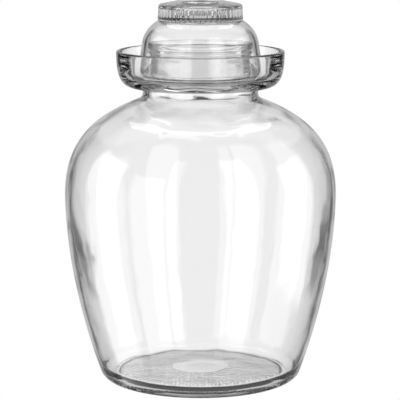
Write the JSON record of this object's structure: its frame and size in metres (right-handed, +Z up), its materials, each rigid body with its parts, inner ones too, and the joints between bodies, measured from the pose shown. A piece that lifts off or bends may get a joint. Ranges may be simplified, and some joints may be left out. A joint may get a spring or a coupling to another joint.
{
  "type": "fermentation jar with airlock",
  "caption": "Round-bellied clear glass jar with a water trough round its neck and a loose bell-shaped glass lid that stands in the trough as a water-seal airlock.",
  "frame": {"origin": "on the jar's axis, in the plane of the ring that it stands on", "axes": "+Z up along the axis of the jar and lid; +X and +Y are free, since the jar is round"},
  "size_m": [0.2, 0.2, 0.2804],
  "materials": {
    "vessel_glass": "clear blown glass, fire-polished, with slight waves in the wall",
    "trough_glass": "clear pressed glass, thick at the floor, with a round polished rim",
    "lid_glass": "clear pressed glass with a smooth skirt and crown",
    "grip_glass": "clear pressed glass with upright ribs"
  },
  "bodies": {
    "jar": {"jar_body": "vessel_glass", "moat_collar": "trough_glass"},
    "lid": {"lid_bell": "lid_glass", "lid_knob": "grip_glass"}
  },
  "joints": [
    {"name": "lid_lift", "type": "slide", "parent": "jar", "child": "lid", "axis": [0, 0, 1], "range_m": [0, 0.12]}
  ]
}
